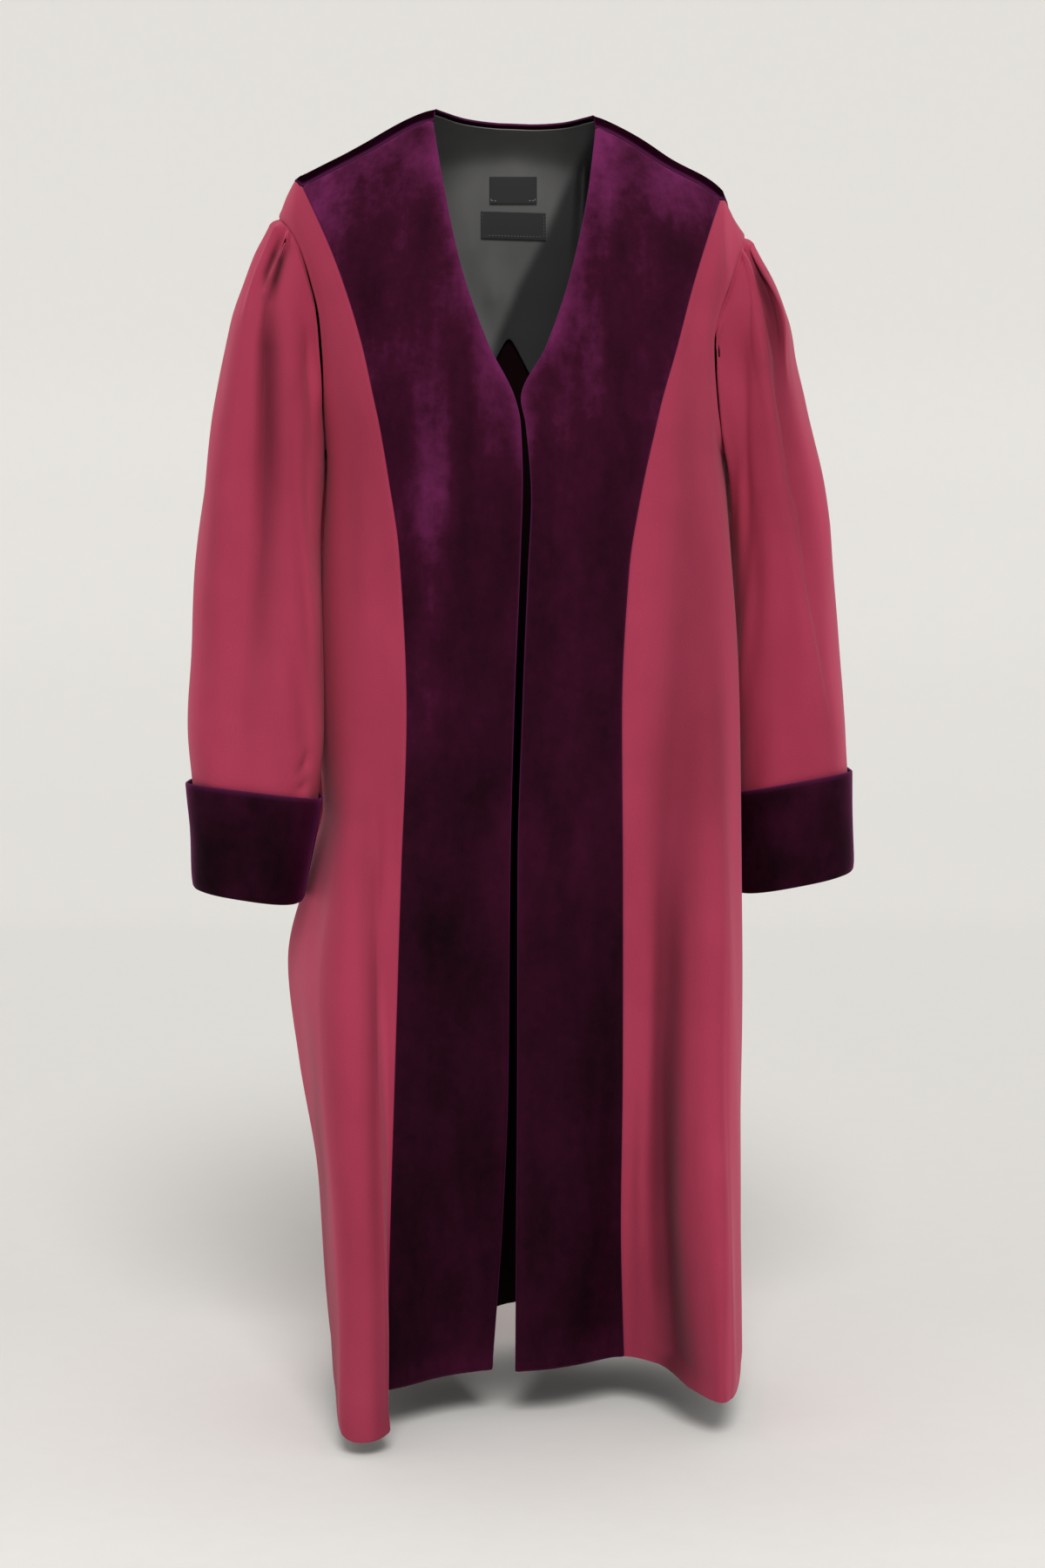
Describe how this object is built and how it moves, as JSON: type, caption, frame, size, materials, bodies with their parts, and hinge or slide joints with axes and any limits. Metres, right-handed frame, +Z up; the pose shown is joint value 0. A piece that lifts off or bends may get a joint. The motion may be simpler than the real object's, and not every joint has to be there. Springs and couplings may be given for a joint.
{
  "type": "judicial robe",
  "caption": "Long wool robe with wide velvet bands down both fronts, velvet shoulder yoke and turned-up velvet cuffs, filled out as if worn and open at the front.",
  "frame": {"origin": "midway between the two shoulders at the height where the wearer's shoulders carry the robe", "axes": "+Z up along the body, front towards -Y, +X towards the viewer's right when seen from the front"},
  "size_m": [0.6679, 0.3879, 1.2667],
  "materials": {
    "wool": "fine matt wool twill",
    "velvet": "dark purple pile velvet",
    "satin": "dark grey satin lining",
    "label": "woven tape, bare"
  },
  "bodies": {
    "root": {"back": "wool", "band_left": "velvet", "band_right": "velvet", "cuff_left": "velvet", "cuff_right": "velvet", "front_left": "wool", "front_right": "wool", "label_lower": "label", "label_upper": "label", "lining": "satin", "sleeve_left": "wool", "sleeve_right": "wool", "yoke": "velvet"}
  },
  "joints": []
}
